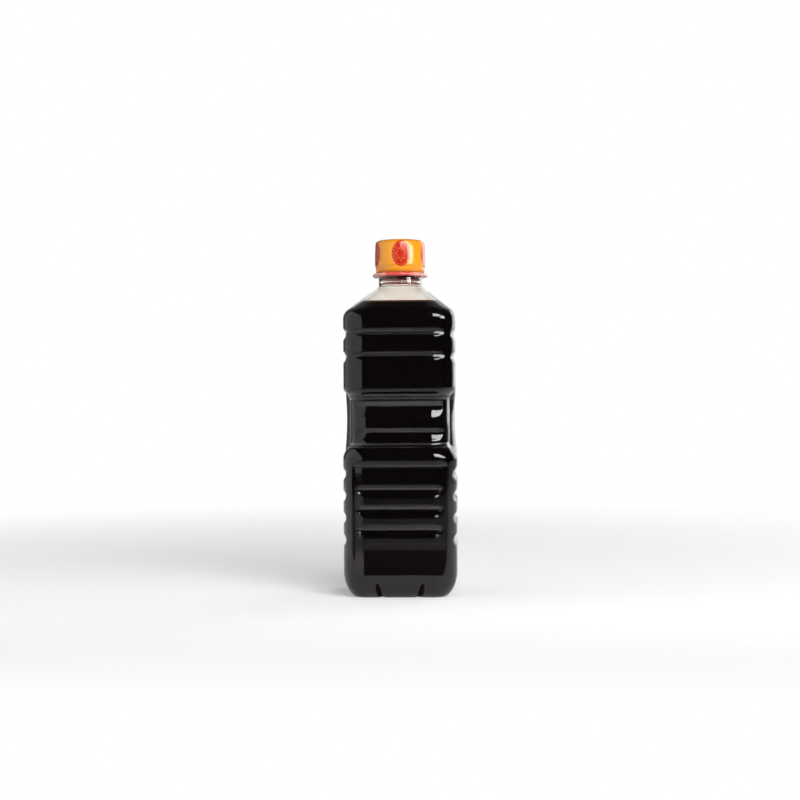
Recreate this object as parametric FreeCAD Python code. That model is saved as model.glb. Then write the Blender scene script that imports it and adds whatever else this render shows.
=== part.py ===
import FreeCAD, Part
import math
import os

from FreeCAD import Vector

# Square blow-moulded oil bottle with a screw cap under a shrink film.
# Millimetres, +Z up, origin on the base at the centre of the standing ring.
# The front faces -Y.  The front equals the back, and the left side equals the right.

# ---- driving dimensions ------------------------------------------------------
WALL = 0.6                    # wall of the blown body
BODY_HALF_LOWER = 33.5        # half width across the flats, below the waist
BODY_HALF_UPPER = 33.1        # half width across the flats, above the waist
CORNER_RADIUS = 13.0          # upright corners of the body

BASE_HEIGHT = 11.9            # top of the rounded foot
BASE_ROUND = 7.2              # how far the foot rounds in
BASE_CORNER = 5.5             # upright corners where the foot meets the base
BASE_FULLNESS = 1.6           # 2 makes the foot's profile an ellipse, less draws it in
BASE_STEPS = 6                # sections that shape the foot's profile
BASE_STEP = 0.3               # small step where the foot meets the wall
BASE_STEP_RISE = 0.2          # upright run between the foot and the step
BASE_STEP_HEIGHT = 0.5
PUSH_UP_MARGIN = 5.0          # flat standing ring between the foot's round and the push-up
PUSH_UP_HEIGHT = 4.5
BASE_FLUTES = 8               # radial flutes across the foot
BASE_FLUTE_RADIUS = 1.5
BASE_FLUTE_REACH = 1.0        # the flutes leave the base this far outside the standing ring's flat
BASE_FLUTE_RISE = 42.0        # slope of each flute, degrees
BASE_FLUTE_LENGTH = 24.0

LOWER_TOP = 84.5              # top of the lower body's upright wall
LOWER_SLOPE_HEIGHT = 4.7      # from that wall in to the waist
WAIST_HALF = 29.2             # half width of the waist
WAIST_CORNER = 9.0            # upright corners of the waist
WAIST_HEIGHT = 26.9
WAIST_LEDGE = 0.8             # thin ledge under the waist's upper slope
WAIST_LEDGE_HEIGHT = 1.0
WAIST_LEDGE_WALL = 1.3
UPPER_SLOPE_HEIGHT = 3.0      # from the ledge out to the upper body's wall
UPPER_HEIGHT = 45.6           # upright wall of the upper body
SLOPE_ROUND = 2.6             # rounding where walls turn into the waist's slopes

GRIP_HALF_DEPTH = 20.0        # grip pillars on the two sides of the waist
GRIP_EDGE_ROUND = 14.0
GRIP_HOLLOW = 0.95            # how far the grips curve in, from their ends
GRIP_SET_BACK = 0.15          # grip ends lie this far inside the body's wall
GRIP_ROOT = 4.0               # how far the grips reach into the body above and below

SHOULDER_ROUND = 7.5
SHOULDER_RUN = 1.23           # sideways run of the slope for each mm of height
SHOULDER_HIDDEN = 0.25        # the slope ends this far inside the neck's wall, nearly round
SHOULDER_FLAT = 0.1           # half the straight side left there between the corners

GROOVE_HALF_HEIGHT = 2.5      # grooves across front and back
GROOVE_DEPTH = 1.8
UPPER_GROOVE_RISES = (19.4, 32.9)     # above the bottom of the upper wall
WAIST_GROOVE_RISES = (6.6, 19.9)      # above the bottom of the waist
WAIST_GROOVE_HALF_HEIGHT = 1.9
WAIST_GROOVE_DEPTH = 1.4
PANEL_GROOVE_DROPS = (17.2, 28.7, 40.3)     # below the panel's top
PANEL_GROOVE_HALF_LENGTH = 25.0
PANEL_GROOVE_DEPTH = 1.5
SIDE_GROOVE_HALF_HEIGHT = 3.2
SIDE_GROOVE_DEPTH = 1.3
LOWER_SIDE_GROOVES = 4
LOWER_SIDE_GROOVE_FIRST = 33.6        # height of the lowest
LOWER_SIDE_GROOVE_DROP = 12.29        # from the top of the wall down to the highest

PANEL_BOTTOM = 20.0           # sunk panel low on front and back, run out on the round corners
PANEL_TOP_DROP = 5.0          # from the top of the lower wall down to the panel
PANEL_OVERRUN = 8.5           # how far past the start of the corners the panel's cut reaches
PANEL_DEPTH = 1.2
PANEL_BEVEL = 2.6
PANEL_FLOOR_CORNER = 2.4

NECK_RADIUS = 12.75
NECK_WALL = 1.9
NECK_BELOW_RING = 5.655       # from the foot of the neck up to the support ring
RING_REACH = 3.75             # how far the support ring stands out from the neck
RING_EDGE = 1.4
RING_HEIGHT = 2.4
RING_TOP_REACH = 2.25
NECK_FINISH = 19.7            # from the support ring's underside up to the rim

OIL_ABOVE_EDGE = 6.9          # level of the oil above the shoulder's edge

CAP_ROOM = 0.6                # between neck and skirt, where the threads are
CAP_SKIRT = 1.5
CAP_PLATE = 2.0
CAP_DRAFT = 0.4               # how far the cap draws in towards its top
CAP_DRAFT_HEIGHT = 7.9
CAP_EDGE_ROUND = 2.0
BAND_ROOM = 0.35              # between neck and tamper band
BAND_WALL = 1.25
BAND_HEIGHT = 4.1
BAND_CLEARANCE = 0.3          # band to cap, and band to support ring

FILM = 0.25                   # shrink film over cap and band
FILM_FOLD = 4.0               # how far it folds in over the cap's top
FILM_DRAW = 1.2               # height over which it draws in from cap to band

OVERCUT = 1.0                 # cutting tools pass this far beyond what they cut

# ---- what follows from them ----------------------------------------------------
PUSH_UP_RADIUS = BODY_HALF_LOWER - BASE_STEP - BASE_ROUND - PUSH_UP_MARGIN
BASE_FLUTE_START = BODY_HALF_LOWER - BASE_STEP - BASE_ROUND + BASE_FLUTE_REACH
WAIST_BOTTOM = LOWER_TOP + LOWER_SLOPE_HEIGHT
LEDGE_BOTTOM = WAIST_BOTTOM + WAIST_HEIGHT
WAIST_TOP = LEDGE_BOTTOM + WAIST_LEDGE_HEIGHT + WAIST_LEDGE_WALL
UPPER_BOTTOM = WAIST_TOP + UPPER_SLOPE_HEIGHT
SHOULDER_EDGE = UPPER_BOTTOM + UPPER_HEIGHT
SHOULDER_TOP_HALF = NECK_RADIUS - SHOULDER_HIDDEN
SHOULDER_TOP = SHOULDER_EDGE + (BODY_HALF_UPPER - SHOULDER_TOP_HALF) / SHOULDER_RUN
NECK_BOTTOM = SHOULDER_EDGE + (BODY_HALF_UPPER - NECK_RADIUS) / SHOULDER_RUN
PANEL_TOP = LOWER_TOP - PANEL_TOP_DROP
BORE_RADIUS = NECK_RADIUS - NECK_WALL
RING_BOTTOM = NECK_BOTTOM + NECK_BELOW_RING
RING_TOP = RING_BOTTOM + RING_HEIGHT
NECK_TOP = RING_BOTTOM + NECK_FINISH
LIQUID_LEVEL = SHOULDER_EDGE + OIL_ABOVE_EDGE
BAND_BORE = NECK_RADIUS + BAND_ROOM
BAND_RADIUS = BAND_BORE + BAND_WALL
BAND_BOTTOM = RING_TOP + BAND_CLEARANCE
BAND_TOP = BAND_BOTTOM + BAND_HEIGHT
CAP_RADIUS = NECK_RADIUS + CAP_ROOM + CAP_SKIRT
CAP_TOP_RADIUS = CAP_RADIUS - CAP_DRAFT
CAP_BOTTOM = BAND_TOP + BAND_CLEARANCE
CAP_TOP = NECK_TOP + CAP_PLATE
CAP_TAPER_START = CAP_TOP - CAP_DRAFT_HEIGHT


# ---- helpers ------------------------------------------------------------------
def rounded_square(half_x, half_y, radius, z):
    """Closed outline of a rectangle with round corners, flat at height z."""
    diagonal = radius * (1 - math.sqrt(0.5))
    corners = ((1, -1), (1, 1), (-1, 1), (-1, -1))
    arcs = []
    for i, (sx, sy) in enumerate(corners):
        along_x = Vector(sx * (half_x - radius), sy * half_y, z)
        along_y = Vector(sx * half_x, sy * (half_y - radius), z)
        middle = Vector(sx * (half_x - diagonal), sy * (half_y - diagonal), z)
        ends = (along_x, along_y) if i % 2 == 0 else (along_y, along_x)
        arcs.append((ends[0], middle, ends[1]))
    edges = []
    for i, (start, middle, end) in enumerate(arcs):
        edges.append(Part.Arc(start, middle, end).toShape())
        edges.append(Part.LineSegment(end, arcs[(i + 1) % 4][0]).toShape())
    return Part.Wire(edges)


def stack(sections, ruled):
    """Solid through square sections, each given as half width, height and corner."""
    wires = [rounded_square(half, half, corner, z) for half, z, corner in sections]
    return Part.makeLoft(wires, True, ruled)


def offset_line(points, inset):
    """The same polyline moved square to itself towards the axis, with mitred corners."""
    moved = []
    for i, (half, z) in enumerate(points):
        normals = []
        for j in (i - 1, i):
            if 0 <= j < len(points) - 1:
                run = points[j + 1][0] - points[j][0]
                rise = points[j + 1][1] - points[j][1]
                length = math.hypot(run, rise)
                normals.append((-rise / length, run / length))
        nx = sum(n[0] for n in normals)
        nz = sum(n[1] for n in normals)
        scale = inset * len(normals) / (nx * nx + nz * nz) if normals else 0.0
        moved.append((half + nx * scale, z + nz * scale))
    return moved


def fillet_level(shape, z, radius):
    """Rounds the ring of edges that lies flat at height z."""
    ring = [e for e in shape.Edges if all(abs(v.Point.z - z) < 1e-4 for v in e.Vertexes)]
    return shape.makeFillet(radius, ring)


def turned(profile):
    """Solid of revolution about the bottle's axis from (radius, height) points."""
    points = [Vector(r, 0, z) for r, z in profile]
    face = Part.Face(Part.makePolygon(points + [points[0]]))
    return face.revolve(Vector(0, 0, 0), Vector(0, 0, 1), 360)


def rim_at(shape, z):
    """Round edges that lie flat at height z."""
    return [e for e in shape.Edges
            if isinstance(e.Curve, Part.Circle) and all(abs(v.Point.z - z) < 1e-4 for v in e.Vertexes)]


def tube(outer, inner, bottom, top):
    ring = Part.makeCylinder(outer, top - bottom, Vector(0, 0, bottom))
    return ring.cut(Part.makeCylinder(inner, top - bottom, Vector(0, 0, bottom)))


# ---- the bottle's form -----------------------------------------------------------
def foot(inset):
    """Rounded foot: a quarter superellipse carried round the square."""
    reach = BASE_ROUND - inset
    rise = BASE_HEIGHT - inset
    top_half = BODY_HALF_LOWER - BASE_STEP - inset
    top_corner = CORNER_RADIUS - BASE_STEP - inset
    base_corner = BASE_CORNER - inset
    sections = []
    for i in range(BASE_STEPS + 1):
        angle = 0.5 * math.pi * i / BASE_STEPS
        drawn_in = reach * (1 - math.sin(angle) ** (2 / BASE_FULLNESS))
        below = rise * max(math.cos(angle), 0.0) ** (2 / BASE_FULLNESS)
        corner = top_corner + (base_corner - top_corner) * drawn_in / reach
        sections.append((top_half - drawn_in, BASE_HEIGHT - below, corner))
    return stack(sections, False)


def body(inset):
    """Square body from foot to shoulder, with the waist between."""
    outline = [
        (BODY_HALF_LOWER - BASE_STEP, BASE_HEIGHT),
        (BODY_HALF_LOWER - BASE_STEP, BASE_HEIGHT + BASE_STEP_RISE),
        (BODY_HALF_LOWER, BASE_HEIGHT + BASE_STEP_RISE + BASE_STEP_HEIGHT),
        (BODY_HALF_LOWER, LOWER_TOP),
        (WAIST_HALF, WAIST_BOTTOM),
        (WAIST_HALF, LEDGE_BOTTOM),
        (WAIST_HALF + WAIST_LEDGE, LEDGE_BOTTOM + WAIST_LEDGE_HEIGHT),
        (WAIST_HALF + WAIST_LEDGE, WAIST_TOP),
        (BODY_HALF_UPPER, UPPER_BOTTOM),
        (BODY_HALF_UPPER, SHOULDER_EDGE),
        (SHOULDER_TOP_HALF, SHOULDER_TOP),
    ]
    wide = CORNER_RADIUS
    corners = [wide - BASE_STEP] * 2 + [wide] * 2 + [WAIST_CORNER] * 4 + [wide] * 2
    corners.append(SHOULDER_TOP_HALF - SHOULDER_FLAT)
    moved = offset_line(outline, inset)
    sections = [(half, z, corner - inset) for (half, z), corner in zip(moved, corners)]
    shape = stack(sections, True)
    shape = fillet_level(shape, moved[9][1], SHOULDER_ROUND - inset)
    shape = fillet_level(shape, moved[8][1], SLOPE_ROUND - inset)
    shape = fillet_level(shape, moved[4][1], SLOPE_ROUND + inset)
    return fillet_level(shape, moved[3][1], SLOPE_ROUND - inset)


def grips(inset):
    """Pillar across the waist whose two ends, hollowed by an arc, are the side grips."""
    low = BODY_HALF_LOWER - GRIP_SET_BACK - inset
    high = BODY_HALF_UPPER - GRIP_SET_BACK - inset
    middle_half = 0.5 * (low + high) - GRIP_HOLLOW
    middle_z = 0.5 * (LOWER_TOP + UPPER_BOTTOM)
    depth = GRIP_HALF_DEPTH - inset

    def at(x, z):
        return Vector(x, -depth, z)

    bottom = LOWER_TOP - GRIP_ROOT
    top = UPPER_BOTTOM + GRIP_ROOT
    right = Part.Arc(at(low, LOWER_TOP), at(middle_half, middle_z), at(high, UPPER_BOTTOM))
    left = Part.Arc(at(-high, UPPER_BOTTOM), at(-middle_half, middle_z), at(-low, LOWER_TOP))
    corners = [
        (at(high, UPPER_BOTTOM), at(high - GRIP_ROOT, top)),
        (at(high - GRIP_ROOT, top), at(-high + GRIP_ROOT, top)),
        (at(-high + GRIP_ROOT, top), at(-high, UPPER_BOTTOM)),
        (at(-low, LOWER_TOP), at(-low + GRIP_ROOT, bottom)),
        (at(-low + GRIP_ROOT, bottom), at(low - GRIP_ROOT, bottom)),
        (at(low - GRIP_ROOT, bottom), at(low, LOWER_TOP)),
    ]
    straight = [Part.LineSegment(a, b).toShape() for a, b in corners]
    outline = Part.Wire([right.toShape()] + straight[:3] + [left.toShape()] + straight[3:])
    block = Part.Face(outline).extrude(Vector(0, 2 * depth, 0))
    upright = [e for e in block.Edges if isinstance(e.Curve, Part.Circle)]
    return block.makeFillet(GRIP_EDGE_ROUND - inset, upright)


def groove(face, half_length, z, half_height, depth, inset, sideways=False):
    """Round-bottomed groove with round ends, cut into a flat face as a capsule."""
    radius = (half_height ** 2 + depth ** 2) / (2 * depth)
    sunk = face - depth + radius
    reach = half_length - half_height
    radius = radius + inset
    capsule = Part.makeCylinder(radius, 2 * reach, Vector(-reach, 0, 0), Vector(1, 0, 0))
    for end in (-reach, reach):
        capsule = capsule.fuse(Part.makeSphere(radius, Vector(end, 0, 0), Vector(1, 0, 0)))
    capsule = capsule.removeSplitter()
    pair = []
    for side in (-1, 1):
        tool = capsule.copy()
        if sideways:
            tool.rotate(Vector(0, 0, 0), Vector(0, 0, 1), 90)
            tool.translate(Vector(side * sunk, 0, z))
        else:
            tool.translate(Vector(0, side * sunk, z))
        pair.append(tool)
    return pair


def grooves(inset):
    """Grooves of every face.  Those as long as the body is wide run out on its round corners."""
    upper = BODY_HALF_UPPER
    lower = BODY_HALF_LOWER
    floor = lower - PANEL_DEPTH
    tools = []
    for rise in UPPER_GROOVE_RISES:
        z = UPPER_BOTTOM + rise
        tools += groove(upper, upper, z, GROOVE_HALF_HEIGHT, GROOVE_DEPTH, inset)
        tools += groove(upper, upper, z, SIDE_GROOVE_HALF_HEIGHT, SIDE_GROOVE_DEPTH, inset, sideways=True)
    for rise in WAIST_GROOVE_RISES:
        z = WAIST_BOTTOM + rise
        tools += groove(WAIST_HALF, WAIST_HALF, z, WAIST_GROOVE_HALF_HEIGHT, WAIST_GROOVE_DEPTH, inset)
    for drop in PANEL_GROOVE_DROPS:
        z = PANEL_TOP - drop
        tools += groove(floor, PANEL_GROOVE_HALF_LENGTH, z, GROOVE_HALF_HEIGHT, PANEL_GROOVE_DEPTH, inset)
    span = LOWER_TOP - LOWER_SIDE_GROOVE_DROP - LOWER_SIDE_GROOVE_FIRST
    for i in range(LOWER_SIDE_GROOVES):
        z = LOWER_SIDE_GROOVE_FIRST + span * i / (LOWER_SIDE_GROOVES - 1)
        tools += groove(lower, lower, z, SIDE_GROOVE_HALF_HEIGHT, SIDE_GROOVE_DEPTH, inset, sideways=True)
    return tools


def panels(inset):
    """Sunk panels low on front and back, bevelled at top and bottom."""
    middle = 0.5 * (PANEL_BOTTOM + PANEL_TOP)
    half_height = 0.5 * (PANEL_TOP - PANEL_BOTTOM)
    half_width = BODY_HALF_LOWER - CORNER_RADIUS + PANEL_OVERRUN
    corner = PANEL_FLOOR_CORNER
    spread = (PANEL_DEPTH + OVERCUT) * PANEL_BEVEL / PANEL_DEPTH
    floor_x = half_width - PANEL_BEVEL
    floor_z = half_height - PANEL_BEVEL
    floor = rounded_square(floor_x, floor_z, corner, -PANEL_DEPTH)
    mouth = rounded_square(floor_x + spread, floor_z + spread, corner + spread, OVERCUT)
    tool = Part.makeLoft([floor, mouth], True, True)
    tool.rotate(Vector(0, 0, 0), Vector(1, 0, 0), 90)
    tool.translate(Vector(0, -BODY_HALF_LOWER + inset, middle))
    back = tool.copy()
    back.rotate(Vector(0, 0, 0), Vector(0, 0, 1), 180)
    return [tool, back]


def underside(inset):
    """Domed push-up and the radial flutes that cross the foot."""
    dome_radius = (PUSH_UP_RADIUS ** 2 + PUSH_UP_HEIGHT ** 2) / (2 * PUSH_UP_HEIGHT)
    dome = Part.makeSphere(dome_radius + inset, Vector(0, 0, PUSH_UP_HEIGHT - dome_radius))
    tools = [dome]
    slope = math.radians(BASE_FLUTE_RISE)
    along = Vector(math.cos(slope), 0, math.sin(slope))
    start = Vector(BASE_FLUTE_START, 0, 0) - along * (BASE_FLUTE_LENGTH / 2)
    for i in range(BASE_FLUTES):
        flute = Part.makeCylinder(BASE_FLUTE_RADIUS + inset, BASE_FLUTE_LENGTH, start, along)
        flute.rotate(Vector(0, 0, 0), Vector(0, 0, 1), (i + 0.5) * 360.0 / BASE_FLUTES)
        tools.append(flute)
    return tools


def form(inset):
    """Everything inside the bottle's skin moved in by inset: 0 is the outer face."""
    shape = body(inset).fuse([foot(inset), grips(inset)])
    shape = shape.cut(panels(inset) + grooves(inset) + underside(inset))
    return shape.removeSplitter()


# ---- nodes ------------------------------------------------------------------------
def make_bottle(outer, inner):
    """Blown body with its neck and support ring, hollow down from the rim."""
    neck = Part.makeCylinder(NECK_RADIUS, NECK_TOP - SHOULDER_EDGE, Vector(0, 0, SHOULDER_EDGE))
    ring = turned([
        (0, RING_BOTTOM), (NECK_RADIUS + RING_REACH, RING_BOTTOM),
        (NECK_RADIUS + RING_REACH, RING_BOTTOM + RING_EDGE),
        (NECK_RADIUS + RING_TOP_REACH, RING_TOP), (0, RING_TOP),
    ])
    bore = Part.makeCylinder(BORE_RADIUS, NECK_TOP - SHOULDER_EDGE + OVERCUT, Vector(0, 0, SHOULDER_EDGE))
    return outer.fuse([neck, ring]).cut([inner, bore]).removeSplitter()


def make_oil(inner):
    """The hollow body's inside, up to the oil's level."""
    half = max(BODY_HALF_LOWER, BODY_HALF_UPPER)
    below = Part.makeBox(2 * half, 2 * half, LIQUID_LEVEL, Vector(-half, -half, 0))
    return inner.common(below)


def make_cap():
    """Screw cap: a plain skirt and top plate that close on the neck's rim."""
    shell = turned([
        (0, CAP_BOTTOM), (CAP_RADIUS, CAP_BOTTOM), (CAP_RADIUS, CAP_TAPER_START),
        (CAP_TOP_RADIUS, CAP_TOP), (0, CAP_TOP),
    ])
    shell = shell.makeFillet(CAP_EDGE_ROUND, rim_at(shell, CAP_TOP))
    hollow = Part.makeCylinder(CAP_RADIUS - CAP_SKIRT, NECK_TOP - CAP_BOTTOM, Vector(0, 0, CAP_BOTTOM))
    return shell.cut(hollow)


def make_tamper_band():
    """Loose ring left between the cap's skirt and the support ring."""
    return tube(BAND_RADIUS, BAND_BORE, BAND_BOTTOM, BAND_TOP)


def make_film():
    """Shrink sleeve drawn tight over cap and band, and folded in over the cap's top."""

    def solid_under(skin):
        """Plain solid that the film's outer face bounds, or with no skin its inner face."""
        shape = turned([
            (0, BAND_BOTTOM), (BAND_RADIUS + skin, BAND_BOTTOM), (BAND_RADIUS + skin, BAND_TOP - FILM_DRAW),
            (CAP_RADIUS + skin, BAND_TOP), (CAP_RADIUS + skin, CAP_TAPER_START),
            (CAP_TOP_RADIUS + skin, CAP_TOP + skin), (0, CAP_TOP + skin),
        ])
        return shape.makeFillet(CAP_EDGE_ROUND + skin, rim_at(shape, CAP_TOP + skin))

    opening = Part.makeCylinder(CAP_TOP_RADIUS - FILM_FOLD, 2 * OVERCUT, Vector(0, 0, CAP_TOP - OVERCUT))
    return solid_under(FILM).cut([solid_under(0.0), opening])


os.makedirs("parts", exist_ok=True)
outer = form(0.0)
inner = form(WALL)
nodes = {
    "bottle": make_bottle(outer, inner),
    "oil": make_oil(inner),
    "cap": make_cap(),
    "tamper_band": make_tamper_band(),
    "film": make_film(),
}
for name, shape in nodes.items():
    solid = shape.Solids[0]
    print(name, len(shape.Solids), "solid", solid.isValid(), round(solid.Volume / 1000.0, 2), "ml")
    solid.exportStep("parts/" + name + ".step")
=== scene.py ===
"""Square oil bottle: a clear blown body full of dark oil, a red screw cap and an orange shrink film."""

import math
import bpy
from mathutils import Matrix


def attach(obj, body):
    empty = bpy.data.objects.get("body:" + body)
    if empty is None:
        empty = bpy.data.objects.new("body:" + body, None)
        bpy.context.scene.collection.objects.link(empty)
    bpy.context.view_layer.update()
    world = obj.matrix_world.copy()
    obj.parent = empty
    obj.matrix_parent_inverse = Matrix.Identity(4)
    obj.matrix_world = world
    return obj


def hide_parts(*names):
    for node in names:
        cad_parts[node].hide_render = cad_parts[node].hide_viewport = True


bl_info = {
    "name": "Square Oil Bottle",
    "version": (1, 0, 0),
    "blender": (4, 5, 0),
    "location": "View3D > Sidebar > Oil Bottle",
    "description": "Builds the surfaces and finishes of a square oil bottle with a sealed screw cap",
    "category": "Add Mesh",
}

import bpy
import numpy as np
from mathutils import Vector

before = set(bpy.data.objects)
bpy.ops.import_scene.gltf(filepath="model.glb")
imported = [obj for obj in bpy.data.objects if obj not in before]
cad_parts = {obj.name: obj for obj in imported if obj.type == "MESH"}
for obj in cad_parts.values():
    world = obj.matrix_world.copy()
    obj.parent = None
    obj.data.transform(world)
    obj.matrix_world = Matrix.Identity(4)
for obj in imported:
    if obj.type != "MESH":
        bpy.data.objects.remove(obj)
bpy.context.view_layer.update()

MM = 0.001

# ---- the blown body, in millimetres ---------------------------------------------------
LOWER_HALF = 33.5
UPPER_HALF = 33.1
CORNER = 13.0
FACE_BOW = 3000.0  # radius of the faces' slight bow
FOOT_TOP = 11.9
FOOT_ROUND = 7.2
FOOT_CORNER = 5.5
FOOT_POWER = 1.25
FOOT_STEP = 0.3
FOOT_STEP_RISE = 0.2
FOOT_STEP_HEIGHT = 0.5
DOME_RADIUS = 21.0
DOME_RISE = 4.5
FLUTES = 8
FLUTE_RADIUS = 1.5
FLUTE_SPREAD = 1.3
FLUTE_DEPTH = 3.4
FLUTE_START = 27.0
FLUTE_BEFORE = 4.0
FLUTE_LENGTH = 13.0
FLUTE_FADES = (3.0, 2.0)
FLUTE_SLOPE = math.radians(42.0)
LOWER_TOP = 84.5
WAIST_BOTTOM = 89.2
WAIST_HALF = 29.2
WAIST_CORNER = 10.5
LEDGE = 0.8
LEDGE_BOTTOM = 116.1
LEDGE_RISE = 1.0
WAIST_TOP = 118.4
UPPER_BOTTOM = 121.4
SLOPE_ROUND = 2.6
LOWER_EDGE_ROUND = 9.0
LEDGE_ROUND = 0.4
LEDGE_EDGE_ROUND = 0.5
GRIP_HALF_DEPTH = 20.0
GRIP_ROUND = 14.0
GRIP_HOLLOW = 0.95
GRIP_SET_BACK = 0.15
GRIP_ROOT = 4.0
GRIP_BLEND = 0.45
SHOULDER_EDGE = 167.0
SHOULDER_ROUND = 7.5
SHOULDER_TOP = 183.75
SHOULDER_TOP_HALF = 12.5
SHOULDER_TOP_CORNER = 12.4
PANEL_BOTTOM = 20.0
PANEL_TOP = 79.5
PANEL_HALF = 29.0
PANEL_REACH = 36.0
PANEL_DEPTH = 1.2
PANEL_BEVEL = 2.6
PANEL_SIDE = 21.0
PANEL_SIDE_SLOPE = 0.2
PANEL_RAMP_TOP = 31.0
PANEL_RAMP_BEND = 0.0052
PANEL_BLEND = 0.13
APRON_BOTTOM = 12.6
APRON_TOP = 19.0
APRON_SLOPE = 0.07
APRON_BLEND = 0.05
GROOVE_END = 5.0
GROOVE_BLEND = 0.15
GROOVED_SHARE = 0.3  # grooves are cut only beyond this share of their face's half width
SCALLOP_FIRST = 33.6
SCALLOP_PITCH = 12.87
# each groove: half width of its face, half length, height of its deepest line, reach above it,
# reach below it, depth
FRONT_GROOVES = [
    (UPPER_HALF, 26.5, 155.6, 1.4, 2.8, 1.0),
    (UPPER_HALF, 26.5, 142.0, 1.4, 2.8, 1.0),
    (WAIST_HALF, 26.0, 112.5, 1.8, 7.0, 1.3),
    (WAIST_HALF, 26.0, 96.8, 1.9, 5.2, 1.3),
] + [(LOWER_HALF, 25.0, z, 2.2, 4.2, 1.3) for z in (40.1, 51.7, 63.2)]
SIDE_GROOVES = (
    [(UPPER_HALF, 27.5, z, 3.4, 3.4, 1.35) for z in (140.8, 154.3)]
    + [(LOWER_HALF, 27.5, SCALLOP_FIRST + SCALLOP_PITCH * i, 3.4, 3.4, 1.35) for i in range(4)]
)
TOO_THIN_TO_SHOW = 1.0  # radius or half width that a smooth maximum leaves out
FIRST_ROW_RISE = 0.1
BODY_COLUMNS = 304
OUTER_ROWS = 226
INNER_ROWS = 88
OIL_ROWS = 170
OUTER_FOOT_ROWS = 13
INNER_FOOT_ROWS = 7
OIL_FOOT_ROWS = 9
NECK = 12.75
NECK_BLEND = 0.8
NECK_FLARE = (0.1, 0.6)
NECK_FLARE_HEIGHT = 0.3
NECK_MIDDLE = 198.0
BORE = 10.85
BORE_BOTTOM = 189.0
BORE_MIDDLE = 199.0
MOUTH_EDGE = 0.3
MOUTH_EDGE_HEIGHT = 0.4
NECK_TOP = 208.9
RING_BOTTOM = 189.2
SKIN_END = 0.8  # the outer skin ends this far under the ring
INNER_SKIN_END = 1.2
# the support ring's section between the neck's two runs: radius, height over the ring's bottom
RING_SECTION = [(15.9, 0.0), (16.4, 0.2), (16.5, 0.6), (16.5, 1.2), (16.3, 1.6), (15.2, 2.3), (14.8, 2.4)]
OIL_INTO_WALL = 0.05
# the oil's surface inside its rim: share of the rim's reach, depth under the level
OIL_SURFACE = [(0.985, 0.25), (0.96, 0.4), (0.9, 0.5), (0.75, 0.5), (0.5, 0.5), (0.25, 0.5)]

# ---- cap, tamper band and film, in millimetres -------------------------------------------
CAP_RADIUS = 14.85
CAP_TOP_RADIUS = 14.45
CAP_TAPER = 203.0
CAP_BOTTOM = 196.3
CAP_TOP = 210.9
CAP_EDGE = 2.0
CAP_LIP = 0.3
CAP_SKIRT = 1.5
CAP_CHAMFER = 0.4
CAP_HUB = 0.4
CAP_COLUMNS = 144
BAND_RADIUS = 14.35
BAND_BORE = 13.1
BAND_BOTTOM = 191.9
BAND_TOP = 196.0
BAND_EDGE = 0.2
BAND_LIP = 1.0
FILM = 0.25
FILM_CLEAR = 0.02
FILM_FOLD = 4.0
FILM_DRAW = 1.2
FILM_BEND = 0.6
FILM_COLUMNS = 180
PLEATS = ((11, 0.4), (17, 1.3), (29, 2.1))  # waves round the sleeve, start angle
PLEAT_DEPTH = 0.035
PLEAT_HEIGHT = 4.0

# ---- finishes, in metres ----------------------------------------------------------------
PLASTIC_IOR = 1.48
CREASE_HEIGHT = 0.1833
CREASE_COLOUR = (0.16, 0.035, 0.003, 1.0)
# painted red light: the red of the seal and band above, seen through the support ring
RING_PAINTED_RED = (0.72, 0.03, 0.02, 1.0)
# painted light: brown of the oil near the foot
FOOT_PAINTED_BROWN = (0.0078, 0.0050, 0.0050, 1.0)

# ---- stage, in metres and watts ---------------------------------------------------------
# ranges over which painted shade darkens the floor's colour, painted shade darkens it further, it turns white
# for seen rays, and it lifts for reflected rays, from their start to their end along an axis
SHADE_Y = (-0.08, -0.45)
FAR_SHADE_Y = (-0.5, -1.2)
WHITE_Y = (-0.06, -0.36)
MIRRORED_X = (-0.12, -0.35)
MIRRORED_Y = (-0.12, 0.0)
SHADE_SHARE = 0.32
MIRRORED_SHARE = 2.4
FLOOR_LIFT = 0.22
FLOOR_WHITE = (0.2, 0.85)
WALL_WHITE = (0.1, 0.3)
# colour of the painted shade on the floor far in front of the bottle
FAR_PAINTED_SHADE = (0.01, 0.01, 0.01, 1.0)
# each lamp: name, place, aim, width, height, power, seen in reflections
LAMPS = [
    ("key_softbox", (0.58, -1.28, 0.84), (0.0, 0.0, 0.1), 0.95, 0.55, 24.0, True),
    ("side_softbox", (1.1, -0.88, 0.41), (0.0, 0.0, 0.17), 0.55, 0.24, 7.0, True),
    ("left_softbox", (-1.0, -1.1, 0.3), (0.0, 0.0, 0.12), 0.8, 0.4, 13.0, False),
    ("top_softbox", (0.1, 0.2, 1.6), (0.0, 0.1, 0.0), 1.6, 1.6, 4.0, False),
    ("rim_softbox", (0.75, 0.81, 0.42), (0.0, 0.0, 0.12), 0.68, 0.7, 3.6, True),
]
LENS = 70.3
SENSOR = 36.0
CAMERA_ASIDE = -0.0006
CAMERA_ROLL = math.radians(-0.4)

BODY = "root"


# ---- sizes and colours a user may change -------------------------------------------------
def colour_property(name, description, default):
    return bpy.props.FloatVectorProperty(
        name=name, description=description, default=default, subtype="COLOR", size=4, min=0.0, max=1.0)


def length_property(name, description, default, precision=2):
    return bpy.props.FloatProperty(
        name=name, description=description, default=default, unit="LENGTH", precision=precision)


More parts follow.
